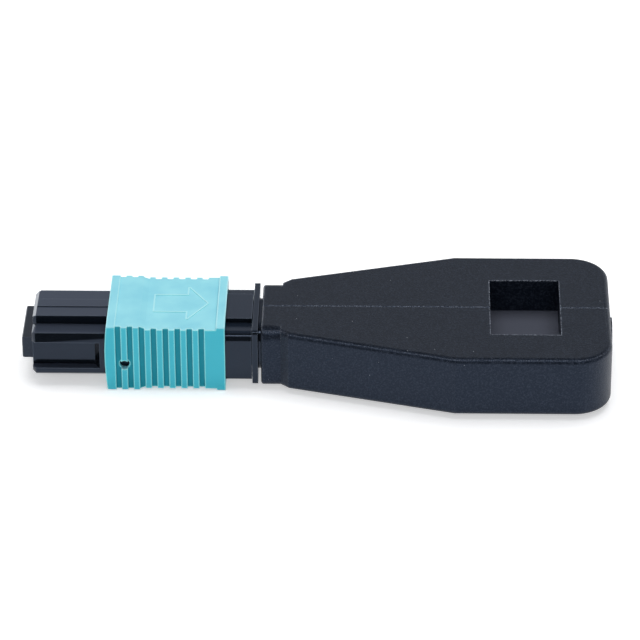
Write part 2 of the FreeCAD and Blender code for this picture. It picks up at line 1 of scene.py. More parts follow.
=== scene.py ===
# Looks for the fibre loopback connector: lights, camera, plastics, springs and fibres.
# The frame's metres are kept throughout; mm turns a size in millimetres into them.
import json
import math
from functools import partial

import bmesh
import bpy
import numpy as np
from mathutils import Matrix, Vector


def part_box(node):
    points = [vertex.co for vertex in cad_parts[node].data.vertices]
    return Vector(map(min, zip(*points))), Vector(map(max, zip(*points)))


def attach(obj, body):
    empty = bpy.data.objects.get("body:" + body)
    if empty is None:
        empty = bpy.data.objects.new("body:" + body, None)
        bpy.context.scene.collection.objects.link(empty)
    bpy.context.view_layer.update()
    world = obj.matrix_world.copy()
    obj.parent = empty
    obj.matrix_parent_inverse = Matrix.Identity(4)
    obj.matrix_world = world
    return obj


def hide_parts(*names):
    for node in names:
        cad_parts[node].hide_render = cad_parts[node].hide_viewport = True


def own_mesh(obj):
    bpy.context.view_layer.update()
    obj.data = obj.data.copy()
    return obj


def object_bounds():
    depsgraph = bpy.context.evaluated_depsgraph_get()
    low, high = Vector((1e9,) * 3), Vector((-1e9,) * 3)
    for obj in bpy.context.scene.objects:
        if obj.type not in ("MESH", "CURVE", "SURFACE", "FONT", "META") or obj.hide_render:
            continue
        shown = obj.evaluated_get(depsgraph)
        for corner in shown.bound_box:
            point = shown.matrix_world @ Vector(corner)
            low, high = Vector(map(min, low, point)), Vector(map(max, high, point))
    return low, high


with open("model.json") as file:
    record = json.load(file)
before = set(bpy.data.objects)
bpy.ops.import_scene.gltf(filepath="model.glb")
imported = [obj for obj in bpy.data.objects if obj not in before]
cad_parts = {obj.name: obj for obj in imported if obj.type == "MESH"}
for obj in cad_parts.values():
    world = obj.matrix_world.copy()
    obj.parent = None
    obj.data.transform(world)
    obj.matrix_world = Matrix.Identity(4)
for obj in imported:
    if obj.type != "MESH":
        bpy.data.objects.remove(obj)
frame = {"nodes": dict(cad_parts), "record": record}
cadBox = [list(corner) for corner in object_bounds()]
mm = 0.001


def linear(hexColour):
    # sRGB hex to linear light: the standard curve, channel by channel
    parts = [int(hexColour[i:i + 2], 16) / 255 for i in (1, 3, 5)]
    return [c / 12.92 if c <= 0.04045 else ((c + 0.055) / 1.055) ** 2.4 for c in parts] + [1.0]


def addObject(name, data):
    piece = bpy.data.objects.new(name, data)
    bpy.context.scene.collection.objects.link(piece)
    return piece


def addNode(tree, kind, inputs=None, **settings):
    # one node with its settings; an input that is given a socket is linked to it, any other is set.
    # Returns the node's first live output.
    node = tree.nodes.new("ShaderNode" + kind)
    for name, value in settings.items():
        setattr(node, name, value)
    for name, value in (inputs or {}).items():
        target = node.inputs[name] if isinstance(name, int) else next(
            socket for socket in node.inputs if socket.enabled and socket.name == name)
        if isinstance(value, bpy.types.NodeSocket):
            tree.links.new(value, target)
        else:
            target.default_value = value
    return next((socket for socket in node.outputs if socket.enabled), None)


def startMaterial(name):
    # an empty tree, a short call that adds to it, and the object's own coordinates in metres
    material = bpy.data.materials.new(name)
    material.use_nodes = True
    material.node_tree.nodes.clear()
    add = partial(addNode, material.node_tree)
    place = add("TexCoord").node.outputs["Object"]
    return material, add, place


def span(end, pair):
    # a pair as the two limits that one end of a range is given by
    return {end + " Min": pair[0], end + " Max": pair[1]}


edgeLimits = (0.95, 0.70)  # share of solid behind a flat, and behind an edge at its palest
edgeSamples = 6


def edgeShare(add, reach):
    # 1 on edges that stick out, 0 on flats: how much of the solid behind the surface is missing
    inside = add("AmbientOcclusion", {"Distance": reach * mm}, samples=edgeSamples, inside=True,
                 only_local=True)
    return add("MapRange", {**span("From", edgeLimits), "Value": inside.node.outputs["AO"]})


def levelShare(add):
    # 1 where the surface lies level, 0 where it stands upright: the size of its normal's z
    normal = add("SeparateXYZ", {"Vector": add("TexCoord").node.outputs["Normal"]})
    return add("Math", {0: normal.node.outputs["Z"]}, operation="ABSOLUTE")


def insideBox(add, place, low, high, soft):
    # 1 inside the box and 0 outside it, with a ramp soft wide: the largest overshoot along an axis
    centre, half = (low + high) / 2, (high - low) / 2
    away = add("VectorMath", {0: place, 1: centre}, operation="SUBTRACT")
    away = add("VectorMath", {0: away}, operation="ABSOLUTE")
    over = add("VectorMath", {0: away, 1: half}, operation="SUBTRACT")
    overX, overY, overZ = add("SeparateXYZ", {"Vector": over}).node.outputs
    worst = add("Math", {0: overX, 1: overY}, operation="MAXIMUM")
    worst = add("Math", {0: worst, 1: overZ}, operation="MAXIMUM")
    return add("MapRange", {**span("From", (soft, 0.0)), "Value": worst})


shellLook = {
    "colour": "#06090f",
    "grit": "#2a2f38",            # the lighter grains of the texture
    "wornAndHighlight": "#949aa6",            # rubbed, dusty edges, and the painted highlight on the rounded edges
    "dust": "#a9adb5",
    "floor": "#50535d",           # bottom of the pocket, polished, painted lighter as painted light
    "tint": "#b8d2ff",
    "roughness": (0.35, 0.51),    # at the two ends of roughRange
    "roughRange": (0.2, 0.8),
    "floorRoughness": 0.34,
    "specular": 0.47,
    "grain": 0.20,                # mm, drawn coarser than the real 0.05 so that it shows
    "grainDepth": 0.03,           # mm
    "grainNoise": {"Detail": 3.0, "Roughness": 0.7},
    "gritRange": (0.46, 0.66),    # from the skin's colour to a light grain
    "crumb": 0.13,                # mm, broken pieces of the rubbed edge
    "crumbNoise": {"Detail": 2.0, "Roughness": 0.7},
    "crumbRange": (0.47, 0.60),   # from untouched to rubbed
    "dustSpacing": 1.1,           # mm
    "dustSize": (0.055, 0.035),   # share of the spacing, from a speck's rim to its full tone
    "dustChance": (0.78, 0.82),   # a place whose draw is below these stays clean
    "edge": 0.17,                 # mm
    "filletLean": (0.74, 0.09),   # level share of the rounded edges that get the painted highlight, and how far either way
    "filletHighlight": 0.20,           # strength of the painted highlight on the rounded edges
    "floorMargin": 0.9,           # mm, the pocket's floor is sought this far round and below its box
    "floorSoft": 0.05,            # mm
}


def sparkErodedPolycarbonate(look):
    # Polycarbonate shell moulded in a spark-eroded tool: an even, sandy, blue-black skin with a
    # soft highlight, pale where an edge has been rubbed, with a painted highlight along the rounded
    # edges, and dotted with dust. The pocket's floor was polished in the tool, so it is smooth; its
    # colour is painted lighter than the sandy skin, as painted light.
    material, add, place = startMaterial("polycarbonate, moulded in a spark-eroded tool")
    grain = add("TexNoise", {**look["grainNoise"], "Scale": 1 / (look["grain"] * mm), "Vector": place})
    crumbs = add("TexNoise", {**look["crumbNoise"], "Scale": 1 / (look["crumb"] * mm), "Vector": place})
    cells = add("TexVoronoi", {"Scale": 1 / (look["dustSpacing"] * mm), "Vector": place})
    low, high = [Vector(corner) for corner in frame["record"]["physics"]["openings"][0]["box_m"]]
    margin = look["floorMargin"] * mm
    below = low - Vector((margin, margin, margin))
    above = Vector((high.x + margin, high.y + margin, low.z))
    smooth = insideBox(add, place, below, above, look["floorSoft"] * mm)
    sandy = add("Math", {0: 1.0, 1: smooth}, operation="SUBTRACT")

    grit = add("MapRange", {**span("From", look["gritRange"]), "Value": grain})
    colour = add("Mix", {"Factor": grit, "A": linear(look["colour"]), "B": linear(look["grit"])},
                 data_type="RGBA")
    # painted light: the pocket's floor takes a lighter colour than the sandy skin
    colour = add("Mix", {"Factor": smooth, "A": colour, "B": linear(look["floor"])}, data_type="RGBA")
    # painted highlight: the rounded edges, picked by how far they lean, take the pale rubbed colour too
    lean, eitherWay = look["filletLean"]
    paintedFilletHighlight = add("Math", {0: levelShare(add), 1: lean, 2: eitherWay}, operation="COMPARE")
    paintedFilletHighlight = add("Math", {0: paintedFilletHighlight, 1: look["filletHighlight"]}, operation="MULTIPLY")
    edge = add("Math", {0: edgeShare(add, look["edge"]), 1: paintedFilletHighlight}, operation="MAXIMUM")
    broken = add("MapRange", {**span("From", look["crumbRange"]), "Value": crumbs})
    # rubbed edges and the painted highlight, broken up alike
    wearAndHighlight = add("Math", {0: edge, 1: broken}, operation="MULTIPLY")
    colour = add("Mix", {"Factor": wearAndHighlight, "A": colour, "B": linear(look["wornAndHighlight"])}, data_type="RGBA")
    speck = add("MapRange", {**span("From", look["dustSize"]), "Value": cells})
    draw = add("SeparateColor", {"Color": cells.node.outputs["Color"]})
    rare = add("MapRange", {**span("From", look["dustChance"]), "Value": draw})
    dust = add("Math", {0: speck, 1: rare}, operation="MULTIPLY")
    colour = add("Mix", {"Factor": dust, "A": colour, "B": linear(look["dust"])}, data_type="RGBA")

    rough = add("MapRange", {**span("From", look["roughRange"]), **span("To", look["roughness"]),
                             "Value": grain})
    rough = add("Mix", {"Factor": smooth, "A": rough, "B": look["floorRoughness"]}, data_type="FLOAT")
    bump = add("Bump", {"Strength": sandy, "Distance": look["grainDepth"] * mm, "Height": grain})
    shader = add("BsdfPrincipled", {"Base Color": colour, "Roughness": rough, "Normal": bump,
                                    "Specular IOR Level": look["specular"],
                                    "Specular Tint": linear(look["tint"])})
    add("OutputMaterial", {"Surface": shader})
    return material


def mouldedPlastic(name, look):
    # A moulding with polished sides and a blasted top and bottom, which, where the look has another
    # colour for them, are painted lighter as painted light: faint flow clouds, softly waved by shrinkage,
    # and edges painted pale as a painted highlight.
    material, add, place = startMaterial(name)
    clouds = add("TexNoise", {"Scale": 1 / (look["flow"] * mm), "Vector": place})
    grain = add("TexNoise", {**look["grainNoise"], "Scale": 1 / (look["grain"] * mm), "Vector": place})
    # painted light: level faces take the lighter top colour, upright faces the side colour
    matt = add("MapRange", {**span("From", look["levelRange"]), "Value": levelShare(add)})
    flow = add("MapRange", {**span("From", look["flowRange"]), "Value": clouds})
    colour = add("Mix", {"Factor": flow, "A": linear(look["colour"]), "B": linear(look["shade"])},
                 data_type="RGBA")
    blasted = linear(look["matt"])
    if "collar" in look:  # behind the sleeve's middle the top gets a darker colour, with less painted light; the change of tone lies hidden under the sleeve
        along = add("SeparateXYZ", {"Vector": place}).node.outputs["X"]
        middle = sum(corner.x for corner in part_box("coupling_sleeve")) / 2
        behind = add("Math", {0: along, 1: middle}, operation="GREATER_THAN")
        blasted = add("Mix", {"Factor": behind, "A": blasted, "B": linear(look["collar"])},
                      data_type="RGBA")
    colour = add("Mix", {"Factor": matt, "A": colour, "B": blasted}, data_type="RGBA")
    # painted highlight: the edges take a pale colour
    lift = add("MapRange", {"To Max": look["edgeLift"], "Value": edgeShare(add, look["edge"])})
    colour = add("Mix", {"Factor": lift, "A": colour, "B": linear(look["edgeHighlightColour"])}, data_type="RGBA")
    rough = add("MapRange", {**span("To", (look["roughness"], look["mattRoughness"])), "Value": matt})
    bump = add("Bump", {"Strength": look["bump"], "Distance": look["grainDepth"] * mm, "Height": grain})
    shader = add("BsdfPrincipled", {"Base Color": colour, "Roughness": rough, "Normal": bump,
                                    "Specular IOR Level": look["specular"],
                                    "Specular Tint": linear(look["tint"])})
    add("OutputMaterial", {"Surface": shader})
    return material


# what the mouldings share; their flow, grain, grainDepth and edge are in mm
mouldedLook = {"levelRange": (0.80, 0.95), "flowRange": (0.3, 0.7), "bump": 0.4, "tint": "#ffffff",
               "grainNoise": {"Detail": 3.0, "Roughness": 0.6}}
# matt and collar are top and bottom colours, painted lighter than the sides as painted light; the edge
# colour is a painted highlight
housingLook = {**mouldedLook, "colour": "#0c1015", "shade": "#101419", "matt": "#373d49",
               "collar": "#1a212c", "edgeHighlightColour": "#5c6470", "edgeLift": 0.6, "roughness": 0.13,
               "mattRoughness": 0.24, "specular": 0.48, "tint": "#c6dbff", "flow": 2.4, "grain": 0.3,
               "grainDepth": 0.003, "edge": 0.12}
pushLook = {**housingLook, "matt": housingLook["collar"], "mattRoughness": 0.38, "grain": 0.35,
            "grainDepth": 0.03}
guideLook = {**mouldedLook, "colour": "#1c1e22", "shade": "#24272c", "matt": "#24272c",
             "edgeHighlightColour": "#454a52", "edgeLift": 0.3, "roughness": 0.38, "mattRoughness": 0.44,
             "specular": 0.45, "flow": 2.0, "grain": 0.3, "grainDepth": 0.005, "edge": 0.06}
bootLook = {**mouldedLook, "colour": "#1b1b1c", "shade": "#222223", "matt": "#222223",
            "edgeHighlightColour": "#333335", "edgeLift": 0.3, "roughness": 0.70, "mattRoughness": 0.76,
            "specular": 0.3, "flow": 0.9, "grain": 0.15, "grainDepth": 0.01, "edge": 0.05}
coatingLook = {**mouldedLook, "colour": "#4fc0cf", "shade": "#5ac8d6", "matt": "#5ac8d6",
               "edgeHighlightColour": "#8fdce6", "edgeLift": 0.1, "roughness": 0.26, "mattRoughness": 0.30,
               "specular": 0.5, "flow": 1.5, "grain": 0.1, "grainDepth": 0.002, "edge": 0.03}

sleeveLook = {
    "matt": "#a0e6f0",            # top and bottom, finely blasted, painted pale and milky as painted light
    "mattShade": "#8fdae9",
    "smooth": "#4ccfe2",          # polished sides, painted deeper as painted shade
    # painted shade in the groove floors of the sides
    "groove": "#009fb2",
    # painted highlight along the edges, on the top and on the sides
    "mattEdgeHighlight": "#c6f7fb",
    "smoothEdgeHighlight": "#a4ffff",
    "edgeLift": 1.0,
    "levelRange": (0.35, 0.75),   # level share, from the polished sides with painted shade to the blasted faces with painted light
    "mattRoughness": 0.42,
    "smoothRoughness": 0.30,
    "specular": 0.4,
    "tint": "#c8f2ff",
    "flow": 3.0,                  # mm
    "flowRange": (0.3, 0.7),
    "grain": 0.18,                # mm
    "grainDepth": 0.004,          # mm
    "grainNoise": {"Detail": 3.0, "Roughness": 0.6},
    "bump": 0.4,
    "edge": 0.17,                 # mm
    "grooveDepth": 0.4,           # mm
    "grooveRange": (0.1, 0.6),    # share of that depth over which the painted shade deepens
}


def aquaPolyester(look):
    # Aqua PBT, moulded with a blasted top and bottom and polished sides: the level faces are painted
    # pale and milky as painted light, the upright sides deeper as painted shade, deepest in the
    # grooves as painted shade, and the edges are painted pale as a painted highlight.
    material, add, place = startMaterial("PBT, moulded, blasted top and polished sides")
    clouds = add("TexNoise", {"Scale": 1 / (look["flow"] * mm), "Vector": place})
    grain = add("TexNoise", {**look["grainNoise"], "Scale": 1 / (look["grain"] * mm), "Vector": place})
    # painted light and shade: level faces take the pale top colour, upright sides the deeper side colour
    matt = add("MapRange", {**span("From", look["levelRange"]), "Value": levelShare(add)})
    side = add("Math", {0: 1.0, 1: matt}, operation="SUBTRACT")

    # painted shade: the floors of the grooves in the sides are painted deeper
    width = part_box("coupling_sleeve")[1].y
    across = add("SeparateXYZ", {"Vector": place}).node.outputs["Y"]
    out = add("Math", {0: across}, operation="ABSOLUTE")
    sinking = [width - share * look["grooveDepth"] * mm for share in look["grooveRange"]]
    sunk = add("MapRange", {**span("From", sinking), "Value": out})
    grooveShadeShare = add("Math", {0: sunk, 1: side}, operation="MULTIPLY")

    flow = add("MapRange", {**span("From", look["flowRange"]), "Value": clouds})
    top = add("Mix", {"Factor": flow, "A": linear(look["matt"]), "B": linear(look["mattShade"])},
              data_type="RGBA")
    colour = add("Mix", {"Factor": matt, "A": linear(look["smooth"]), "B": top}, data_type="RGBA")
    colour = add("Mix", {"Factor": grooveShadeShare, "A": colour, "B": linear(look["groove"])}, data_type="RGBA")
    # painted highlight: the edges are painted pale
    lift = add("MapRange", {"To Max": look["edgeLift"], "Value": edgeShare(add, look["edge"])})
    pale = add("Mix", {"Factor": matt, "A": linear(look["smoothEdgeHighlight"]), "B": linear(look["mattEdgeHighlight"])},
               data_type="RGBA")
    colour = add("Mix", {"Factor": lift, "A": colour, "B": pale}, data_type="RGBA")
    rough = add("MapRange", {**span("To", (look["smoothRoughness"], look["mattRoughness"])),
                             "Value": matt})
    bump = add("Bump", {"Strength": look["bump"], "Distance": look["grainDepth"] * mm, "Height": grain})
    shader = add("BsdfPrincipled", {"Base Color": colour, "Roughness": rough, "Normal": bump,
                                    "Specular IOR Level": look["specular"],
                                    "Specular Tint": linear(look["tint"])})
    add("OutputMaterial", {"Surface": shader})
    return material


ferruleLook = {
    "colour": "#14171d",
    "glassFlecks": "#343a44",
    "fibre": "#c9d6dc",
    "tint": "#ccdfff",
    "roughness": 0.3,
    "fibreRoughness": 0.05,
    "specular": 0.5,
    "fleck": 0.09,                # mm
    "fleckDepth": 0.004,          # mm
    "fleckNoise": {"Detail": 3.0, "Roughness": 0.7},
    "fleckRange": (0.55, 0.72),   # from resin to a pale fleck
    "bump": 0.3,
    "fibrePitch": 0.25,           # mm
    "fibreRadius": 0.0625,        # mm
    "fibreRim": (1.03, 0.97),     # share of the radius over which a fibre's disc begins
    "fibreRow": 1.5,              # mm, half of the row of twelve
    "faceDepth": 0.02,            # mm
    "edge": 0.12,                 # mm
    "edgeLift": 0.4,
}


def glassFilledPps(look):
    # PPS with glass and silica, moulded, its mating face lapped: dark grey with fine pale flecks,
    # and twelve polished fibre ends in a row between the guide holes.
    material, add, place = startMaterial("PPS, glass-filled, moulded and lapped")
    flecks = add("TexNoise", {**look["fleckNoise"], "Scale": 1 / (look["fleck"] * mm), "Vector": place})
    x, y, z = add("SeparateXYZ", {"Vector": place}).node.outputs
    pitch = look["fibrePitch"] * mm
    nearest = add("Math", {0: y, 1: pitch / 2}, operation="SUBTRACT")
    nearest = add("Math", {0: nearest, 1: -pitch / 2, 2: pitch / 2}, operation="WRAP")
    reach = add("VectorMath", {0: add("CombineXYZ", {"Y": nearest, "Z": z})}, operation="LENGTH")
    rim = [look["fibreRadius"] * mm * share for share in look["fibreRim"]]
    disc = add("MapRange", {**span("From", rim), "Value": reach})
    out = add("Math", {0: y}, operation="ABSOLUTE")
    inRow = add("Math", {0: out, 1: look["fibreRow"] * mm}, operation="LESS_THAN")
    onFace = add("Math", {0: x, 1: look["faceDepth"] * mm}, operation="LESS_THAN")
    fibre = add("Math", {0: disc, 1: inRow}, operation="MULTIPLY")
    fibre = add("Math", {0: fibre, 1: onFace}, operation="MULTIPLY")

    fleck = add("MapRange", {**span("From", look["fleckRange"]), "Value": flecks})
    colour = add("Mix", {"Factor": fleck, "A": linear(look["colour"]), "B": linear(look["glassFlecks"])},
                 data_type="RGBA")
    lift = add("MapRange", {"To Max": look["edgeLift"], "Value": edgeShare(add, look["edge"])})
    colour = add("Mix", {"Factor": lift, "A": colour, "B": linear(look["glassFlecks"])},
                 data_type="RGBA")
    colour = add("Mix", {"Factor": fibre, "A": colour, "B": linear(look["fibre"])}, data_type="RGBA")
    rough = add("MapRange", {**span("To", (look["roughness"], look["fibreRoughness"])), "Value": fibre})
    bump = add("Bump", {"Strength": look["bump"], "Distance": look["fleckDepth"] * mm, "Height": flecks})
    shader = add("BsdfPrincipled", {"Base Color": colour, "Roughness": rough, "Normal": bump,
                                    "Specular IOR Level": look["specular"],
                                    "Specular Tint": linear(look["tint"])})
    add("OutputMaterial", {"Surface": shader})
    return material


springLook = {
    "colour": "#b9bab8",
    "dark": "#8e908f",
    "roughness": (0.20, 0.36),    # at the two ends of roughRange
    "roughRange": (0.2, 0.8),
    "drawLine": 0.03,             # mm, width of a drawing line
    "drawLength": 1.2,            # mm
    "drawDepth": 0.003,           # mm
    "drawNoise": {"Roughness": 0.6},
    "stain": 0.7,                 # mm
    "stainRange": (0.35, 0.75),   # from bright to dull
    "bump": 0.3,
}


def drawnSpringSteel(look):
    # Stainless wire pulled through a die and coiled: bright, with fine lines along it.
    material, add, place = startMaterial("stainless spring wire, drawn")
    stretch = add("Mapping", {"Scale": (1.0, look["drawLine"] / look["drawLength"], 1.0),
                              "Vector": place})
    lines = add("TexNoise", {**look["drawNoise"], "Scale": 1 / (look["drawLine"] * mm), "Vector": stretch})
    stain = add("TexNoise", {"Scale": 1 / (look["stain"] * mm), "Vector": place})
    dull = add("MapRange", {**span("From", look["stainRange"]), "Value": stain})
    colour = add("Mix", {"Factor": dull, "A": linear(look["colour"]), "B": linear(look["dark"])},
                 data_type="RGBA")
    rough = add("MapRange", {**span("From", look["roughRange"]), **span("To", look["roughness"]),
                             "Value": lines})
    bump = add("Bump", {"Strength": look["bump"], "Distance": look["drawDepth"] * mm, "Height": lines})
    shader = add("BsdfPrincipled", {"Base Color": colour, "Roughness": rough, "Normal": bump,
                                    "Metallic": 1.0})
    add("OutputMaterial", {"Surface": shader})
    return material


tubeLook = {
    "colour": "#dfe2df",
    "milk": "#cfd3d1",
    "haze": 0.6,                  # mm
    "hazeRange": (0.3, 0.7),      # from clear to milky
    "roughness": (0.3, 0.4),      # clear, milky
    "transmission": 0.45,
    "ior": 1.35,
}


def extrudedFluoropolymer(look):
    # Clear tubing: milky, slippery, lets some light through.
    material, add, place = startMaterial("fluoropolymer tube, extruded")
    haze = add("TexNoise", {"Scale": 1 / (look["haze"] * mm), "Vector": place})
    milky = add("MapRange", {**span("From", look["hazeRange"]), "Value": haze})
    colour = add("Mix", {"Factor": milky, "A": linear(look["colour"]), "B": linear(look["milk"])},
                 data_type="RGBA")
    rough = add("MapRange", {**span("To", look["roughness"]), "Value": milky})
    shader = add("BsdfPrincipled", {"Base Color": colour, "Roughness": rough,
                                    "Transmission Weight": look["transmission"], "IOR": look["ior"]})
    add("OutputMaterial", {"Surface": shader})
    return material


finishes = {
    "textured_black_polymer": sparkErodedPolycarbonate(shellLook),
    "black_polymer": mouldedPlastic("PBT, moulded and polished", housingLook),
    "aqua_polymer": aquaPolyester(sleeveLook),
    "ferrule_resin": glassFilledPps(ferruleLook),
    "boot_rubber": mouldedPlastic("silicone rubber, moulded", bootLook),
    "spring_steel": drawnSpringSteel(springLook),
    "aqua_coating": mouldedPlastic("acrylate fibre coating", coatingLook),
    "clear_tube": extrudedFluoropolymer(tubeLook),
}
pushFinish = mouldedPlastic("PBT, moulded with a light texture", pushLook)
guideFinish = mouldedPlastic("polyamide, moulded", guideLook)
print("materials made:", len(finishes) + 2)


softening = {
    "merge": 1e-7,                # m, corners closer than this are one
    "fold": 32,                   # degrees, edges that turn further are rounded
    "crease": 3,                  # degrees between corner normals, from which a line stays crisp
    "flat": 0.5,                  # degrees, facets that turn less become one face
    "segments": 2,
    "flatWeight": 100,            # how much the large faces rule the shading
}


def softenedCopy(node, finish, name, width):
    # the node's own surface as one closed skin with every hard edge rounded off by width
    mesh = frame["nodes"][node].data.copy()
    corners = np.empty(len(mesh.loops) * 3)
    mesh.corner_normals.foreach_get("vector", corners)
    corners = iter(corners.reshape(-1, 3))
    if "custom_normal" in mesh.attributes:
        mesh.attributes.remove(mesh.attributes["custom_normal"])
    skin = bmesh.new()
    skin.from_mesh(mesh)
    normal = skin.loops.layers.float_vector.new("corner normal")
    for face in skin.faces:
        for corner in face.loops:
            corner[normal] = next(corners)
    bmesh.ops.remove_doubles(skin, verts=skin.verts, dist=softening["merge"])
    # planes that meet at a shallow angle keep a crisp line: their corner normals differ there
    fold, crease, flat = (math.radians(softening[turn]) for turn in ("fold", "crease", "flat"))
    creases = set()
    for edge in skin.edges:
        if len(edge.link_loops) == 2 and edge.calc_face_angle(0) < fold:
            one, other = edge.link_loops
            likeness = min(one[normal].dot(other.link_loop_next[normal]),
                           one.link_loop_next[normal].dot(other[normal]))
            if likeness < math.cos(crease):
                creases.add(edge)
    skin.loops.layers.float_vector.remove(normal)
    for edge in skin.edges:
        edge.smooth = edge not in creases
    bmesh.ops.dissolve_limit(skin, angle_limit=flat, verts=skin.verts, edges=skin.edges)
    for face in skin.faces:
        face.smooth = True
        face.material_index = 0
    skin.to_mesh(mesh)
    skin.free()
    mesh.materials.clear()
    mesh.materials.append(finish)
    piece = addObject(name, mesh)
    rounding = piece.modifiers.new("rounded edges", "BEVEL")
    rounding.width = width * mm
    rounding.segments = softening["segments"]
    rounding.limit_method = "ANGLE"
    rounding.angle_limit = fold
    # flats keep their own direction, so that each moulded face reads as one plane
    shading = piece.modifiers.new("flat faces stay flat", "WEIGHTED_NORMAL")
    shading.mode = "FACE_AREA"
    shading.weight = softening["flatWeight"]
    shading.keep_sharp = True
    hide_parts(node)
    return piece


softenedPieces = {
    # node: (body, slot, name of the finished piece, edge rounding in mm)
    "plug_housing": ("body", "black_polymer", "plug_housing_moulding", 0.05),
    "spring_push": ("body", "black_polymer", "spring_push_moulding", 0.05),
    "body_shell_left": ("body", "textured_black_polymer", "body_shell_left_moulding", 0.07),
    "body_shell_right": ("body", "textured_black_polymer", "body_shell_right_moulding", 0.07),
    "coupling_sleeve": ("sleeve", "aqua_polymer", "coupling_sleeve_moulding", 0.07),
    "mt_ferrule": ("ferrule", "ferrule_resin", "mt_ferrule_moulding", 0.04),
}
for node, (body, slotName, name, width) in softenedPieces.items():
    finish = pushFinish if node == "spring_push" else finishes[slotName]
    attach(softenedCopy(node, finish, name, width), body)
print("moulded pieces finished:", len(softenedPieces))


def closedGrid(name, points, material):
    # points[row, column] wrap round in columns; each end is closed by one flat face
    rows, columns = points.shape[:2]
    row = np.arange(rows - 1)[:, None] * columns
    column = np.arange(columns)[None, :]
    after = (column + 1) % columns
    quads = np.stack([row + column, row + after, row + columns + after, row + columns + column], -1)
    ends = [list(range(columns - 1, -1, -1)), list(range((rows - 1) * columns, rows * columns))]
    mesh = bpy.data.meshes.new(name)
    mesh.from_pydata(points.reshape(-1, 3).tolist(), [], quads.reshape(-1, 4).tolist() + ends)
    mesh.materials.append(material)
    smooth = np.ones(len(mesh.polygons), bool)
    smooth[-2:] = False
    mesh.polygons.foreach_set("use_smooth", smooth)
    mesh.update()
    return addObject(name, mesh)


def unit(vectors):
    return vectors / np.linalg.norm(vectors, axis=-1, keepdims=True)


def sweptRound(path, outward, radius, sides):
    # centre + radius (cos a . side + sin a . up): a circle square to the path at each point,
    # with up the outward direction made square to the path
    along = unit(np.gradient(path, axis=0))
    up = unit(outward - along * np.sum(outward * along, axis=1, keepdims=True))
    side = np.cross(up, along)
    angle = np.linspace(0, 2 * math.pi, sides, endpoint=False)
    ring = np.cos(angle)[None, :, None] * side[:, None, :] + np.sin(angle)[None, :, None] * up[:, None, :]
    return path[:, None, :] + radius * ring


coil = {
    "steps": 48,                  # points in a turn
    "sides": 14,                  # round the wire
    "closedTurns": 0.8,           # at each end, over which the pitch opens
    "closedPitch": 0.12,          # share of the open pitch
}


def coilPath(front, back, halfWidth, halfHeight, turns, centreY):
    # x advances by a pitch that closes up over the dead turns at both ends;
    # y and z go round an ellipse of the given half sizes
    turn = np.linspace(0, turns, int(turns * coil["steps"]) + 1)
    pitch = np.clip(np.minimum(turn, turns - turn) / coil["closedTurns"], coil["closedPitch"], 1.0)
    advance = np.concatenate([[0], np.cumsum((pitch[1:] + pitch[:-1]) / 2)])
    x = front + (back - front) * advance / advance[-1]
    angle = 2 * math.pi * turn
    path = np.stack([x, centreY + halfWidth * np.cos(angle), halfHeight * np.sin(angle)], 1)
    outward = np.stack([0 * x, np.cos(angle) / halfWidth, np.sin(angle) / halfHeight], 1)
    return path, unit(outward)


springs = {
    # node: (body, wire in mm, turns, joint that presses it)
    "coupling_spring_left": ("body", 0.18, 6, "sleeve_slide"),
    "coupling_spring_right": ("body", 0.18, 6, "sleeve_slide"),
    "ferrule_spring": ("body", 0.42, 5, "ferrule_float"),
}
for node, (body, wire, turns, joint) in springs.items():
    low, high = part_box(node)
    radius = wire * mm / 2
    middle, half = (low + high) / 2, (high - low) / 2
    path, outward = coilPath(low.x + radius, high.x - radius, half.y - radius, half.z - radius,
                             turns, middle.y)
    wirePoints = sweptRound(path, outward, radius, coil["sides"])
    spring = closedGrid(node + "_wire", wirePoints, finishes["spring_steel"])
    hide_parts(node)
    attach(spring, body)
    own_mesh(spring)
print("springs wound:", len(springs))


slab = {
    "rows": 60,                   # along the ribbon, so that it squashes evenly
    "around": 48,
    "power": 0.35,                # 1 is an ellipse, 0 a square corner
}


def roundedSlab(low, high):
    # a rectangle with round corners carried from low.x to high.x: |y/a|^n + |z/b|^n = 1 with
    # n = 2 / power, drawn by signed powers of cosine and sine
    centre, half = (low + high) / 2, (high - low) / 2
    angle = np.linspace(0, 2 * math.pi, slab["around"], endpoint=False)
    across, upward = np.cos(angle), np.sin(angle)
    y = centre.y + half.y * np.sign(across) * np.abs(across) ** slab["power"]
    z = centre.z + half.z * np.sign(upward) * np.abs(upward) ** slab["power"]
    x = np.linspace(low.x, high.x, slab["rows"])
    points = np.empty((slab["rows"], slab["around"], 3))
    points[..., 0] = x[:, None]
    points[..., 1] = y[None, :]
    points[..., 2] = z[None, :]
    return points


low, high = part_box("fibre_ribbon")
ribbon = closedGrid("fibre_ribbon_matrix", roundedSlab(low, high), finishes["aqua_coating"])
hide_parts("fibre_ribbon")
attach(ribbon, "body")
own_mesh(ribbon)

for name, node in frame["nodes"].items():
    if not node.hide_render:
        slotName = node.data.materials[0].name
        finish = guideFinish if name == "loop_guide" else finishes[slotName]
        node.data.materials[0] = finish
print("ribbon and plain pieces finished")


floorLook = {
    "colour": "#f2f2f2",
    "size": 3.0,                  # m
    "glow": 0.46,
    "fade": (-0.12, -0.03),       # m, in y: as gloss sees it, black before and full behind
}


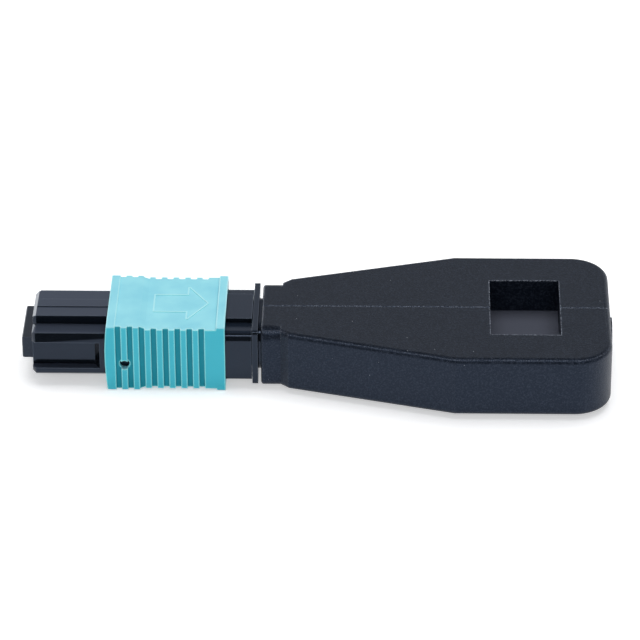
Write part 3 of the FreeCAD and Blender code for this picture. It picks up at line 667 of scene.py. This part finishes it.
def makeFloor(look):
    # a flat pale sheet under the lowest point; its glow whitens it for the eye and in gloss only
    low = Vector(cadBox[0])
    half = look["size"] / 2
    corners = [(x * half, y * half, low.z) for x, y in ((-1, -1), (1, -1), (1, 1), (-1, 1))]
    mesh = bpy.data.meshes.new("floor")
    mesh.from_pydata(corners, [], [(0, 1, 2, 3)])
    material, add, place = startMaterial("matt paper sheet")
    rays = add("LightPath").node.outputs
    depth = add("SeparateXYZ", {"Vector": place}).node.outputs["Y"]
    near = add("MapRange", {**span("From", look["fade"]), "Value": depth})
    shown = add("Mix", {"Factor": rays["Is Glossy Ray"], "A": 1.0, "B": near}, data_type="FLOAT")
    seen = add("Math", {0: rays["Is Camera Ray"], 1: rays["Is Glossy Ray"]}, operation="MAXIMUM")
    seen = add("Math", {0: seen, 1: rays["Is Transmission Ray"]}, operation="MAXIMUM")
    seen = add("Math", {0: seen, 1: shown}, operation="MULTIPLY")
    strength = add("MapRange", {"To Max": look["glow"], "Value": seen})
    tone = add("Mix", {"Factor": shown, "A": linear("#000000"), "B": linear(look["colour"])},
               data_type="RGBA")
    paper = add("BsdfDiffuse", {"Color": tone})
    glow = add("Emission", {"Color": linear("#ffffff"), "Strength": strength})
    add("OutputMaterial", {"Surface": add("AddShader", {0: paper, 1: glow})})
    mesh.materials.append(material)
    floor = addObject("floor", mesh)


makeFloor(floorLook)


def heading(turn, rise):
    # unit vector turn degrees round from +Y toward +X and rise degrees above the horizon
    turn, rise = math.radians(turn), math.radians(rise)
    return Vector((math.sin(turn) * math.cos(rise), math.cos(turn) * math.cos(rise), math.sin(rise)))


centre = (Vector(cadBox[0]) + Vector(cadBox[1])) / 2
lamps = {
    # name: (turn and height in degrees, distance, width and depth in metres, watts,
    #        lights colour, shows in gloss)
    "overhead": (10, 78, 0.55, 0.50, 0.40, 2.10, True, False),
    "front fill": (180, 30, 0.60, 0.60, 0.30, 0.55, True, False),
    "strip": (180, 60, 0.55, 0.90, 0.06, 1.30, False, True),
    "left card": (-38, 6, 0.45, 0.35, 0.14, 0.42, False, True),
}
for name, (turn, rise, distance, width, depth, watts, lightsColour, showsInGloss) in lamps.items():
    away = heading(turn, rise)
    lamp = bpy.data.lights.new(name, "AREA")
    lamp.shape = "RECTANGLE"
    lamp.size, lamp.size_y = width, depth
    lamp.energy = watts
    holder = addObject(name, lamp)
    holder.location = centre + away * distance
    holder.rotation_euler = (-away).to_track_quat("-Z", "Y").to_euler()
    holder.visible_diffuse = lightsColour
    holder.visible_glossy = showsInGloss

studio = {
    "sheet": 0.65,                # the white sheet hung behind, as gloss shows it
    "sheetTop": (0.74, 0.50),     # sine of the height, from where it has ended to where it is full
    "sheetSide": (-0.25, 0.35),   # how far it comes round to the front
    "room": 0.10,                 # the dark room elsewhere, as gloss shows it
    "fill": 0.35,                 # even light on everything
    "colour": "#f4f8ff",
}


def makeWorld(look):
    # a dark studio with a white sheet behind the table; the eye sees white all round
    world = bpy.data.worlds.new("studio")
    world.use_nodes = True
    world.node_tree.nodes.clear()
    add = partial(addNode, world.node_tree)
    outward = add("SeparateXYZ", {"Vector": add("TexCoord").node.outputs["Generated"]}).node.outputs
    low = add("MapRange", {**span("From", look["sheetTop"]), "Value": outward["Z"]})
    back = add("MapRange", {**span("From", look["sheetSide"]), "Value": outward["Y"]})
    sheet = add("Math", {0: low, 1: back}, operation="MULTIPLY")
    inGloss = add("MapRange", {**span("To", (look["room"], look["sheet"])), "Value": sheet})
    rays = add("LightPath").node.outputs
    gloss = add("Math", {0: rays["Is Glossy Ray"], 1: rays["Is Transmission Ray"]}, operation="MAXIMUM")
    level = add("Mix", {"Factor": gloss, "A": look["fill"], "B": inGloss}, data_type="FLOAT")
    level = add("Mix", {"Factor": rays["Is Camera Ray"], "A": level, "B": 1.0}, data_type="FLOAT")
    light = add("Background", {"Color": linear(look["colour"]), "Strength": level})
    add("OutputWorld", {"Surface": light})
    return world


bpy.context.scene.world = makeWorld(studio)
bpy.context.scene.view_settings.view_transform = "Standard"

cameraLook = {
    "target": (35.58, 0.0, 1.885),    # mm, the point in the middle of the view
    "distance": 494.4,                # mm
    "turn": -1.388,                   # degrees, round the object
    "height": 31.0,                   # degrees above the horizon
    "roll": -0.307,                   # degrees
    "lens": 231.7,                    # mm on the 36 mm sensor
    "clip": (0.01, 10.0),             # m
}
view = heading(cameraLook["turn"], -cameraLook["height"])
camera = addObject("camera", bpy.data.cameras.new("camera"))
camera.data.lens = cameraLook["lens"]
camera.data.clip_start, camera.data.clip_end = cameraLook["clip"]
camera.location = Vector(cameraLook["target"]) * mm - view * cameraLook["distance"] * mm
facing = view.to_track_quat("-Z", "Y").to_matrix().to_4x4()
camera.rotation_euler = (facing @ Matrix.Rotation(math.radians(cameraLook["roll"]), 4, "Z")).to_euler()
bpy.context.scene.camera = camera
print("floor, lamps and camera placed")
